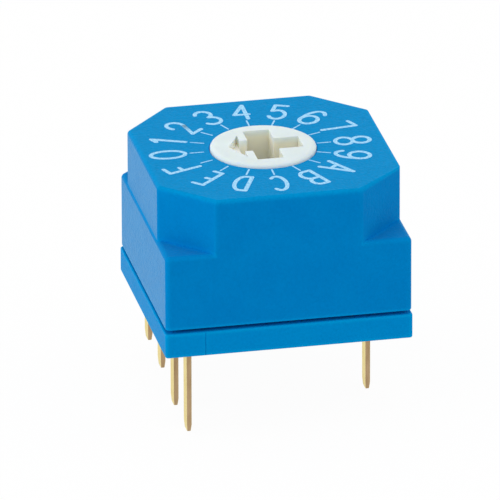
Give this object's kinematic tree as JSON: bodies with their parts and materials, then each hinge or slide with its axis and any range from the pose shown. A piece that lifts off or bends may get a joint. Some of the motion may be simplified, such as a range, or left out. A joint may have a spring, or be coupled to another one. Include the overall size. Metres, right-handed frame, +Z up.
{
  "type": "rotary switch",
  "caption": "Board-mounted hexadecimal coded rotary switch: octagonal blue housing, screwdriver-set rotor with an arrow, and through-hole terminals.",
  "frame": {"origin": "centre of the seating plane, on the underside of the base plate, where the circuit board's surface lies", "axes": "+Z up along the rotor's axis, -X towards the dial's 0 and the row of coded terminals, +X towards the common terminal, +Y towards the dial's 4"},
  "size_m": [0.0098, 0.0098, 0.0101],
  "materials": {
    "housing_blue": "fine spark-eroded matte, moulded",
    "rotor_cream": "satin, moulded, off-white",
    "dial_print": "pale blue laser marking",
    "gold_plate": "gold-plated strip, lightly drawn",
    "spring_steel": "rolled strip",
    "seal_rubber": "moulded ring",
    "potting_resin": "poured, self-levelled"
  },
  "bodies": {
    "case": {"housing": "housing_blue", "base_plate": "housing_blue", "base_seal": "potting_resin", "detent_spring": "spring_steel", "terminal_1": "gold_plate", "terminal_2": "gold_plate", "terminal_4": "gold_plate", "terminal_8": "gold_plate", "terminal_common": "gold_plate", "wiper_1": "gold_plate", "wiper_2": "gold_plate", "wiper_4": "gold_plate", "wiper_8": "gold_plate", "wiper_common": "gold_plate"},
    "dial": {"rotor": "rotor_cream", "rotor_seal": "seal_rubber", "code_disc": "gold_plate"}
  },
  "joints": [
    {"name": "dial_turn", "type": "hinge", "parent": "case", "child": "dial", "pos_m": [0, 0, 0.0042], "axis": [0, 0, -1], "continuous": true, "deforming": ["detent_spring"]}
  ]
}
